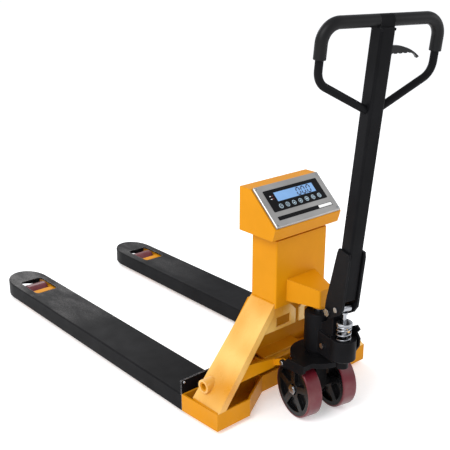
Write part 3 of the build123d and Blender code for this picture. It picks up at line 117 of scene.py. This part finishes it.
def surface(name, colour, roughness, metallic=0.0, coat=0.0, vary=0.10, peel=900.0, peel_height=0.00003,
            grain=None, edge_highlight=None, edge_highlight_amount=0.6, radius=0.0012, dust=0.0, specular=0.5,
            streak=0.05, emission=None, painted_sheen=None, painted_highlight=None):
    """A painted, plated or moulded finish with tone variation, fine grain, soft edges with a painted highlight
    along them and some dust low down.

    The painted sheen is given as (from y, to y, colour, amount): the upward faces are painted paler along that
    stretch.
    The painted highlight is a paler colour that comes and goes in broad soft patches.
    """
    material = bpy.data.materials.new(name)
    material.use_nodes = True
    material.diffuse_color = (*colour, 1.0)
    tree = material.node_tree
    bsdf = tree.nodes["Principled BSDF"]
    coords = node(tree, "ShaderNodeTexCoord").outputs["Object"]

    tone = noise(tree, coords, 9.0, 5.0)
    darker = tuple(c * (1 - vary) for c in colour)
    lighter = tuple(min(1.0, c * (1 + vary) + 0.002) for c in colour)
    shade = mix_colour(tree, remap(tree, tone, 0.3, 0.7, 0.0, 1.0), darker, lighter)

    # painted highlight: a paler colour laid on in broad soft patches
    if painted_highlight is not None:
        patches = remap(tree, noise(tree, coords, 5.0, 1.5), 0.36, 0.62, 0.0, 0.85)
        shade = mix_colour(tree, patches, shade, painted_highlight)

    rounded = node(tree, "ShaderNodeBevel", samples=4)
    rounded.inputs["Radius"].default_value = radius
    # painted highlight: where the rounded normal turns away from the face's own, a paler colour is painted along
    # edges, broken up by noise
    if edge_highlight is not None:
        geometry = node(tree, "ShaderNodeNewGeometry")
        facing = node(tree, "ShaderNodeVectorMath", operation="DOT_PRODUCT")
        link(tree, rounded.outputs["Normal"], facing.inputs[0])
        link(tree, geometry.outputs["Normal"], facing.inputs[1])
        edge_highlight_mask = remap(tree, facing.outputs["Value"], 0.995, 0.86, 0.0, edge_highlight_amount)
        broken = remap(tree, noise(tree, coords, 130.0, 3.0), 0.38, 0.62, 0.35, 1.0)
        shade = mix_colour(tree, math_node(tree, "MULTIPLY", edge_highlight_mask, broken), shade, edge_highlight)
    if dust > 0:
        split = node(tree, "ShaderNodeSeparateXYZ")
        link(tree, coords, split.inputs[0])
        low = remap(tree, split.outputs["Z"], 0.0, 0.22, dust, 0.0)
        patchy = remap(tree, noise(tree, coords, 22.0, 6.0), 0.42, 0.68, 0.0, 1.0)
        shade = mix_colour(tree, math_node(tree, "MULTIPLY", low, patchy), shade, (0.30, 0.26, 0.21))
    # painted sheen: the upward faces are painted paler along a stretch of y, in streaks and specks
    if painted_sheen is not None:
        start, end, sheen_colour, amount = painted_sheen
        spot = node(tree, "ShaderNodeSeparateXYZ")
        link(tree, coords, spot.inputs[0])
        along = remap(tree, spot.outputs["Y"], start, end, 0.0, amount)
        sheen_streaks = remap(tree, noise(tree, coords, 14.0, 8.0, (1.0, 0.35, 1.0)), 0.40, 0.66, 0.15, 1.0)
        specks = remap(tree, noise(tree, coords, 260.0, 3.0), 0.42, 0.70, 0.35, 1.0)
        upward = node(tree, "ShaderNodeSeparateXYZ")
        link(tree, node(tree, "ShaderNodeNewGeometry").outputs["Normal"], upward.inputs[0])
        top = remap(tree, upward.outputs["Z"], 0.6, 0.95, 0.0, 1.0)
        sheen_mask = math_node(tree, "MULTIPLY", math_node(tree, "MULTIPLY", along, sheen_streaks),
                        math_node(tree, "MULTIPLY", specks, top))
        shade = mix_colour(tree, sheen_mask, shade, sheen_colour)
    link(tree, shade, bsdf.inputs["Base Color"])

    smudge = remap(tree, noise(tree, coords, 16.0, 6.0), 0.3, 0.7, roughness - streak, roughness + streak)
    link(tree, smudge, bsdf.inputs["Roughness"])
    bsdf.inputs["Metallic"].default_value = metallic
    bsdf.inputs["Specular IOR Level"].default_value = specular
    bsdf.inputs["Coat Weight"].default_value = coat
    bsdf.inputs["Coat Roughness"].default_value = 0.12

    stretch = (1, 1, 1) if grain is None else grain
    fine = noise(tree, coords, peel, 2.0, stretch)
    bump = node(tree, "ShaderNodeBump")
    bump.inputs["Strength"].default_value = 0.5
    bump.inputs["Distance"].default_value = peel_height
    link(tree, fine, bump.inputs["Height"])
    link(tree, rounded.outputs["Normal"], bump.inputs["Normal"])
    link(tree, bump.outputs["Normal"], bsdf.inputs["Normal"])
    if emission is not None:
        bsdf.inputs["Emission Color"].default_value = (*colour, 1.0)
        bsdf.inputs["Emission Strength"].default_value = emission
    return material


YELLOW = (0.60, 0.235, 0.0015)
HIGHLIGHT_YELLOW = (0.92, 0.62, 0.20)
BLACK = (0.0042, 0.0042, 0.0050)
black_coat = {"roughness": 0.46, "vary": 0.25, "peel": 800.0, "peel_height": 0.00008, "radius": 0.0018,
              "specular": 0.055}
# the colours given for edges here are painted highlights along edges and bends
finishes = {
    "yellow_paint": surface("yellow powder coat", YELLOW, 0.38, vary=0.05, peel=700.0,
                            peel_height=0.00006, edge_highlight=(0.90, 0.50, 0.08), edge_highlight_amount=0.5, radius=0.0016,
                            dust=0.05, specular=0.08),
    "black_paint": surface("black powder coat", BLACK, edge_highlight=(0.075, 0.075, 0.080), edge_highlight_amount=0.5, dust=0.05,
                           **black_coat),
    "zinc": surface("zinc plate", (0.34, 0.35, 0.37), 0.26, metallic=1.0, vary=0.12, peel=420.0,
                    edge_highlight=(0.80, 0.81, 0.83), radius=0.0006),
    "stainless": surface("brushed stainless", (0.36, 0.355, 0.345), 0.40, metallic=1.0, vary=0.12,
                         peel=2400.0, peel_height=0.00006, grain=(0.03, 1.0, 1.0), edge_highlight=(0.62, 0.62, 0.60),
                         radius=0.0012),
    "polyurethane": surface("red polyurethane", (0.105, 0.005, 0.012), 0.36, vary=0.16, peel=500.0,
                            peel_height=0.00010, dust=0.16, coat=0.15, radius=0.002, specular=0.35),
    "hub_black": surface("black nylon", (0.0040, 0.0040, 0.0045), 0.30, vary=0.20, peel=500.0, coat=0.15,
                         edge_highlight=(0.06, 0.06, 0.065), radius=0.0012, specular=0.16),
    "grip_black": surface("black vinyl", (0.0045, 0.0045, 0.0050), 0.44, vary=0.2, peel=1200.0,
                          peel_height=0.00012, radius=0.002, specular=0.16),
    "panel_film": surface("black film", (0.0035, 0.0035, 0.0042), 0.36, vary=0.10, peel=1800.0,
                          peel_height=0.00002, radius=0.0004, specular=0.08),
    "lcd": surface("blue display", (0.16, 0.32, 0.58), 0.16, vary=0.08, peel=300.0, peel_height=0.000005,
                   coat=0.3, radius=0.0003, emission=0.16),
    "key_black": surface("key cap", (0.010, 0.011, 0.013), 0.38, vary=0.1, radius=0.0006,
                         edge_highlight=(0.30, 0.33, 0.36)),
    "cell_alloy": surface("machined alloy", (0.55, 0.56, 0.57), 0.35, metallic=1.0, grain=(1.0, 0.05, 1.0)),
    "board": surface("green board", (0.01, 0.09, 0.03), 0.4),
    "gland_nylon": surface("gland nylon", (0.008, 0.008, 0.008), 0.45),
    "battery_case": surface("battery case", (0.03, 0.03, 0.033), 0.5),
}

slot_of = {row["node"]: row["material_slot"] for row in frame["record"]["subparts"]}
for name, piece in frame["nodes"].items():
    piece.data.materials.clear()
    piece.data.materials.append(finishes[slot_of[name]])

# the sloped plates have a glossier coat than the pressed parts, and a painted highlight in broad paler patches
glossy = surface("glossy yellow with painted highlight", YELLOW, 0.28, coat=0.3, vary=0.05, edge_highlight=(0.90, 0.55, 0.12), edge_highlight_amount=0.5,
                 radius=0.0016, dust=0.05, specular=0.3, painted_highlight=HIGHLIGHT_YELLOW)
for name in ("leg_left", "leg_right", "front_gussets"):
    frame["nodes"][name].data.materials[0] = glossy

# the fork tops get a painted sheen, paler towards the tips and most on the near one, and a bright painted
# highlight along their edges
SHEEN_GREY = (0.30, 0.29, 0.285)
fork_coat = {**black_coat, "radius": 0.0032}
for name, amount in (("fork_cover_left", 1.0), ("fork_cover_right", 0.35)):
    low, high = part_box(name)
    stretch = (low[1] + 0.45 * (high[1] - low[1]), high[1] - 0.05)
    material = surface(f"{name} black with painted sheen", BLACK, edge_highlight=(0.42, 0.42, 0.43), edge_highlight_amount=0.9,
                       painted_sheen=(*stretch, SHEEN_GREY, amount), **fork_coat)
    frame["nodes"][name].data.materials[0] = material


def bright(name, colour, roughness=0.35, metallic=0.0):
    return surface(name, colour, roughness, metallic=metallic, vary=0.06, radius=0.0003)


INK_WHITE = bright("white ink", (0.72, 0.73, 0.74))
INK_DARK = bright("display ink", (0.004, 0.010, 0.045), 0.3)
INK_CYAN = bright("pale blue ink", (0.55, 0.74, 0.86))
INK_RED = bright("red ink", (0.50, 0.02, 0.02))
LABEL = bright("blank label", (0.78, 0.78, 0.76), 0.45)

# ------------------------------------------------------------------ mesh helpers


def finish_mesh(name, mesh_data, material, body, smooth=True):
    mesh = bpy.data.meshes.new(name)
    mesh_data.to_mesh(mesh)
    mesh_data.free()
    mesh.materials.append(material)
    if smooth:
        for polygon in mesh.polygons:
            polygon.use_smooth = True
    made = bpy.data.objects.new(name, mesh)
    bpy.context.scene.collection.objects.link(made)
    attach(made, body)
    return made


def prism(data, outline, low, high, place, bevel=0.0):
    """A flat piece: the outline extruded from low to high in its own plane, then put in place."""
    bottom = [data.verts.new(place @ Vector((x, y, low))) for x, y in outline]
    top = [data.verts.new(place @ Vector((x, y, high))) for x, y in outline]
    count = len(outline)
    faces = [data.faces.new(list(reversed(bottom))), data.faces.new(top)]
    for i in range(count):
        faces.append(data.faces.new((bottom[i], bottom[(i + 1) % count], top[(i + 1) % count], top[i])))
    if bevel > 0:
        rim = [e for e in data.edges if e.verts[0] in top and e.verts[1] in top]
        bmesh.ops.bevel(data, geom=rim, offset=bevel, segments=2, affect="EDGES", profile=0.5)
    return faces


def rounded_rectangle(width, height, corner, cx=0.0, cy=0.0, steps=5):
    points = []
    for quarter, (sx, sy) in enumerate(((1, 1), (-1, 1), (-1, -1), (1, -1))):
        mid = (cx + sx * (width / 2 - corner), cy + sy * (height / 2 - corner))
        for step in range(steps + 1):
            turn = math.radians(90 * (quarter + step / steps))
            points.append((mid[0] + corner * math.cos(turn), mid[1] + corner * math.sin(turn)))
    return points


def circle(radius, cx=0.0, cy=0.0, count=32):
    return [(cx + radius * math.cos(2 * math.pi * i / count), cy + radius * math.sin(2 * math.pi * i / count))
            for i in range(count)]


def ring(data, outer, inner, low, high, place, cx=0.0, cy=0.0, count=40):
    """A flat ring with its own thickness."""
    loops = []
    for radius, level in ((inner, low), (outer, low), (outer, high), (inner, high)):
        rim = circle(radius, cx, cy, count)
        loops.append([data.verts.new(place @ Vector((x, y, level))) for x, y in rim])
    for k in range(4):
        a, b = loops[k], loops[(k + 1) % 4]
        for i in range(count):
            data.faces.new((a[i], a[(i + 1) % count], b[(i + 1) % count], b[i]))


def tube_along(data, points, radius, count=10, ripple=0.0, waves=0.0):
    """A bead that follows points, its radius rippling along the way."""
    loops = []
    total = 0.0
    for i, point in enumerate(points):
        ahead = points[min(i + 1, len(points) - 1)] - points[max(i - 1, 0)]
        ahead.normalize()
        side = ahead.cross(Vector((0.1, 0.2, 1.0)))
        side.normalize()
        up = side.cross(ahead)
        if i:
            total += (point - points[i - 1]).length
        swell = radius * (1 + ripple * math.sin(total * waves))
        if i in (0, len(points) - 1):
            swell *= 0.4
        loops.append([data.verts.new(point + side * swell * math.cos(2 * math.pi * k / count)
                                     + up * swell * math.sin(2 * math.pi * k / count)) for k in range(count)])
    for a, b in zip(loops, loops[1:]):
        for k in range(count):
            data.faces.new((a[k], a[(k + 1) % count], b[(k + 1) % count], b[k]))
    data.faces.new(list(reversed(loops[0])))
    data.faces.new(loops[-1])


# ------------------------------------------------------------------ the console's face
NORMAL = -Vector(JOINTS["key_1_press"]["axis"]).normalized()
ACROSS = Vector((1, 0, 0))
UP = NORMAL.cross(ACROSS).normalized()


def middle(name):
    low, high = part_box(name)
    return (Vector(low) + Vector(high)) / 2


overlay_mid = middle("indicator_overlay")
display_mid = middle("lcd_window")
DISPLAY = (0.163, 0.0315)


def face_place(centre, lift):
    basis = Matrix((ACROSS, UP, NORMAL)).transposed().to_4x4()
    return Matrix.Translation(centre + NORMAL * lift) @ basis


DISPLAY_HALF_THICKNESS = 0.0021
FILM_HALF_THICKNESS = 0.0003
display_place = face_place(display_mid, DISPLAY_HALF_THICKNESS)
overlay_place = face_place(overlay_mid, FILM_HALF_THICKNESS)

INK_LOW = 0.00002         # printed marks stand this far off the surface under them
INK_HIGH = 0.00014
NOUGHT = "abcdef"         # the segments that are on in a nought


def bar(x0, y0, x1, y1, thick):
    """A six-sided display segment from one end to the other."""
    along = Vector((x1 - x0, y1 - y0))
    length = along.length
    along.normalize()
    side = Vector((-along.y, along.x)) * thick / 2
    a, b = Vector((x0, y0)), Vector((x1, y1))
    cut = along * min(thick / 2, length / 3)
    return [tuple(v) for v in (a, a + cut - side, b - cut - side, b, b - cut + side, a + cut + side)]


def nought(data, x, y, width, height, thick, place, slant=0.10):
    gap = thick * 0.12
    corners = {"tl": (0, height), "tr": (width, height), "ml": (0, height / 2), "mr": (width, height / 2),
               "bl": (0, 0), "br": (width, 0)}
    ends = {"a": ("tl", "tr"), "b": ("tr", "mr"), "c": ("mr", "br"), "d": ("bl", "br"), "e": ("ml", "bl"),
            "f": ("tl", "ml")}
    for segment in NOUGHT:
        (x0, y0), (x1, y1) = (corners[k] for k in ends[segment])
        run = Vector((x1 - x0, y1 - y0)).normalized() * (gap + thick * 0.1)
        outline = bar(x0 + run.x, y0 + run.y, x1 - run.x, y1 - run.y, thick)
        outline = [(x + px + py * slant, y + py) for px, py in outline]
        prism(data, outline, INK_LOW, INK_HIGH, place)


digits = bmesh.new()
DIGIT = (0.0130, 0.0240, 0.0042)      # width, height, stroke
DIGIT_START = 0.0060
DIGIT_PITCH = 0.0210
digit_base = -DIGIT[1] / 2 - 0.0005
for place_value in range(2):
    nought(digits, DIGIT_START + place_value * DIGIT_PITCH, digit_base, *DIGIT, display_place)
last_digit = DIGIT_START + 2 * DIGIT_PITCH
prism(digits, circle(0.0018, last_digit - 0.0036, digit_base + 0.0007, 12), INK_LOW, INK_HIGH, display_place)
nought(digits, last_digit + 0.0015, digit_base, *DIGIT, display_place)
finish_mesh("lcd_digits", digits, INK_DARK, "chassis", smooth=False)

BEZEL_RIM = 0.0056
BEZEL_HEIGHT = 0.0005
bezel = bmesh.new()
outer = rounded_rectangle(DISPLAY[0] + BEZEL_RIM, DISPLAY[1] + BEZEL_RIM, 0.0020)
inner = rounded_rectangle(DISPLAY[0] - 0.0006, DISPLAY[1] - 0.0006, 0.0008)
rims = [[bezel.verts.new(display_place @ Vector((x, y, z))) for x, y in points]
        for points, z in ((inner, 0.0), (outer, 0.0), (outer, BEZEL_HEIGHT), (inner, BEZEL_HEIGHT))]
for k in range(4):
    a, b = rims[k], rims[(k + 1) % 4]
    for i in range(len(a)):
        bezel.faces.new((a[i], a[(i + 1) % len(a)], b[(i + 1) % len(b)], b[i]))
finish_mesh("display_bezel", bezel, finishes["panel_film"], "chassis", smooth=False)

# two plain ticks, each beside a status lamp
LAMP_ROWS = (0.0155, 0.0060)
print_white = bmesh.new()
for row in LAMP_ROWS:
    prism(print_white, rounded_rectangle(0.0070, 0.0022, 0.0004, -0.0955, row), 0.0, 0.0001, overlay_place)
finish_mesh("overlay_print", print_white, INK_WHITE, "chassis", smooth=False)

lamps = bmesh.new()
for row in LAMP_ROWS:
    prism(lamps, circle(0.0011, -0.0875, row, 16), 0.0, 0.0004, overlay_place, bevel=0.0002)
finish_mesh("status_lamps", lamps, INK_RED, "chassis")

# each key carries a plain ring and a simple sign
SIGN_HEIGHT = 0.00012
key_signs = ("bar", "square", "triangle", "plus", "dot", "lines", "circle")
for index, sign in enumerate(key_signs):
    key = f"key_{index + 1}"
    cap_top = max(vertex.co.dot(NORMAL) for vertex in frame["nodes"][key].data.vertices)
    place = face_place(middle(key), cap_top - middle(key).dot(NORMAL) + 0.00002)
    data = bmesh.new()
    ring(data, 0.0073, 0.0061, 0.0, SIGN_HEIGHT, place)
    if sign == "bar":
        prism(data, rounded_rectangle(0.0070, 0.0014, 0.0003), 0.0, SIGN_HEIGHT, place)
    elif sign == "square":
        ring(data, 0.0034, 0.0024, 0.0, SIGN_HEIGHT, place, count=4)
    elif sign == "triangle":
        prism(data, [(-0.0030, -0.0022), (0.0030, -0.0022), (0.0, 0.0032)], 0.0, SIGN_HEIGHT, place)
    elif sign == "plus":
        prism(data, [(-0.0033, -0.0007), (-0.0007, -0.0007), (-0.0007, -0.0033), (0.0007, -0.0033),
                     (0.0007, -0.0007), (0.0033, -0.0007), (0.0033, 0.0007), (0.0007, 0.0007),
                     (0.0007, 0.0033), (-0.0007, 0.0033), (-0.0007, 0.0007), (-0.0033, 0.0007)],
              0.0, SIGN_HEIGHT, place)
    elif sign == "dot":
        prism(data, circle(0.0026, count=24), 0.0, SIGN_HEIGHT, place)
    elif sign == "lines":
        for shift in (-0.0022, 0.0, 0.0022):
            prism(data, rounded_rectangle(0.0064, 0.0010, 0.0002, 0.0, shift), 0.0, SIGN_HEIGHT, place)
    else:
        ring(data, 0.0036, 0.0026, 0.0, SIGN_HEIGHT, place, count=28)
    finish_mesh(f"{key}_sign", data, INK_CYAN, key, smooth=False)

# the strip below the film, with a blank label at its right end
STRIP_ROW = -0.0440
STRIP_HEIGHT = 0.00025
case_mid = overlay_mid - UP * 0.0145
strip_place = face_place(case_mid, 0.0)
strip = bmesh.new()
prism(strip, rounded_rectangle(0.228, 0.0125, 0.0012, 0.0015, STRIP_ROW), -0.0002, STRIP_HEIGHT, strip_place,
      bevel=0.0001)
finish_mesh("label_strip", strip, finishes["panel_film"], "chassis", smooth=False)
label = bmesh.new()
prism(label, rounded_rectangle(0.0560, 0.0095, 0.0008, 0.0850, STRIP_ROW), STRIP_HEIGHT, 0.0004, strip_place)
finish_mesh("blank_label", label, LABEL, "chassis", smooth=False)
# corner screws of the indicator case
CASE_SCREW = (0.1270, 0.0620)
screws = bmesh.new()
for sx in (-1, 1):
    for sy in (-1, 1):
        spot = (sx * CASE_SCREW[0], sy * CASE_SCREW[1])
        ring(screws, 0.0034, 0.0016, 0.0, 0.0011, strip_place, *spot, count=28)
        prism(screws, circle(0.0016, *spot, 6), 0.0, 0.0004, strip_place)
finish_mesh("case_screws", screws, finishes["zinc"], "chassis")

# ------------------------------------------------------------------ welds
def weld(name, start, end, radius=0.0022, body="chassis", slot="yellow_paint"):
    data = bmesh.new()
    start, end = Vector(start), Vector(end)
    steps = max(6, int((end - start).length / 0.0014))
    points = [start.lerp(end, i / steps) for i in range(steps + 1)]
    tube_along(data, points, radius, 8, ripple=0.14, waves=1500.0)
    return finish_mesh(name, data, finishes[slot], body)


leg_low, leg_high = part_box("leg_left")
column_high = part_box("console_column")[1]
for side, sign in (("left", -1), ("right", 1)):
    x = sign * (column_high[0] + 0.0008)
    weld(f"weld_leg_{side}", (x, leg_low[1] + 0.004, leg_high[2] - 0.0012),
         (x, column_high[1] - 0.002, leg_high[2] - 0.0012))
    x = sign * (-leg_low[0] + 0.0005)
    weld(f"weld_foot_{side}", (x, leg_low[1] + 0.004, leg_low[2] + 0.0012),
         (x, leg_high[1] - 0.004, leg_low[2] + 0.0012))

# ------------------------------------------------------------------ pump spring
SPRING_WIRE = 0.0025      # the wire's radius
END_PITCH = 0.0051        # the closed turn at each end
OPEN_TURNS = 4
SPRING_STEPS = 40         # points in one turn


def pump_spring():
    """A compression spring between the cup and the piston's collar."""
    low, high = (Vector(v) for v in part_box("pump_spring"))
    centre = middle("pump_spring")
    radius = (high.x - low.x) / 2 - SPRING_WIRE
    bottom = low.z + SPRING_WIRE
    length = high.z - low.z - 2 * SPRING_WIRE
    open_length = length - 2 * END_PITCH
    turns = OPEN_TURNS + 2
    points = []
    for step in range(turns * SPRING_STEPS + 1):
        turn = step / SPRING_STEPS
        rise = END_PITCH * min(turn, 1.0)
        rise += open_length * min(max(turn - 1.0, 0.0), OPEN_TURNS) / OPEN_TURNS
        rise += END_PITCH * max(turn - 1.0 - OPEN_TURNS, 0.0)
        angle = 2 * math.pi * turn
        points.append(Vector((centre.x + radius * math.cos(angle), centre.y + radius * math.sin(angle),
                              bottom + rise)))
    data = bmesh.new()
    tube_along(data, points, SPRING_WIRE, 12)
    body = next(name for name, nodes in BODIES.items() if "pump_spring" in nodes)
    coil = finish_mesh("coil_spring", data, finishes["zinc"], body)
    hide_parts("pump_spring")
    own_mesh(coil)


pump_spring()

# ------------------------------------------------------------------ studio
FLOOR_HALF = 90.0         # large enough to hide the horizon from the camera
FLOOR_LEVEL = -0.0005
CAMERA_PLACE = (-1.6344, -2.0388, 1.3728)
CAMERA_TARGET = (0.0, -0.1706, 0.4945)


def floor():
    data = bmesh.new()
    for x, y in ((-1, -1), (1, -1), (1, 1), (-1, 1)):
        data.verts.new((x * FLOOR_HALF, y * FLOOR_HALF, FLOOR_LEVEL))
    data.faces.new(data.verts)
    mesh = bpy.data.meshes.new("floor")
    data.to_mesh(mesh)
    data.free()
    made = bpy.data.objects.new("floor", mesh)
    material = bpy.data.materials.new("pale floor")
    material.use_nodes = True
    bsdf = material.node_tree.nodes["Principled BSDF"]
    bsdf.inputs["Base Color"].default_value = (0.94, 0.94, 0.94, 1)
    bsdf.inputs["Roughness"].default_value = 0.75
    bsdf.inputs["Specular IOR Level"].default_value = 0.1
    bsdf.inputs["Emission Color"].default_value = (1, 1, 1, 1)
    bsdf.inputs["Emission Strength"].default_value = 0.32
    mesh.materials.append(material)
    bpy.context.scene.collection.objects.link(made)


floor()

world = bpy.data.worlds.new("studio")
bpy.context.scene.world = world
world.use_nodes = True
background = world.node_tree.nodes["Background"]
background.inputs["Color"].default_value = (0.96, 0.97, 1.0, 1)
background.inputs["Strength"].default_value = 0.78


def softbox(name, place, target, size, power):
    light = bpy.data.lights.new(name, "AREA")
    light.shape = "RECTANGLE"
    light.size, light.size_y = size
    light.energy = power
    made = bpy.data.objects.new(name, light)
    made.location = place
    made.rotation_euler = (Vector(target) - Vector(place)).to_track_quat("-Z", "Y").to_euler()
    bpy.context.scene.collection.objects.link(made)


softbox("key_light", (-3.2, -1.2, 3.4), (0, 0, 0.3), (2.4, 1.8), 115)
softbox("fill_light", (2.8, -3.2, 2.2), (0, -0.3, 0.5), (2.0, 2.0), 32)
softbox("back_light", (0.6, 3.4, 2.6), (0, 0.2, 0.2), (2.6, 1.6), 55)

camera_data = bpy.data.cameras.new("camera")
camera_data.lens = 63.1
camera_data.sensor_width = 36.0
camera = bpy.data.objects.new("camera", camera_data)
camera.location = CAMERA_PLACE
camera.rotation_euler = (Vector(CAMERA_TARGET) - camera.location).to_track_quat("-Z", "Y").to_euler()
bpy.context.scene.collection.objects.link(camera)
bpy.context.scene.camera = camera
bpy.context.scene.view_settings.view_transform = "Standard"
bpy.context.scene.view_settings.look = "None"
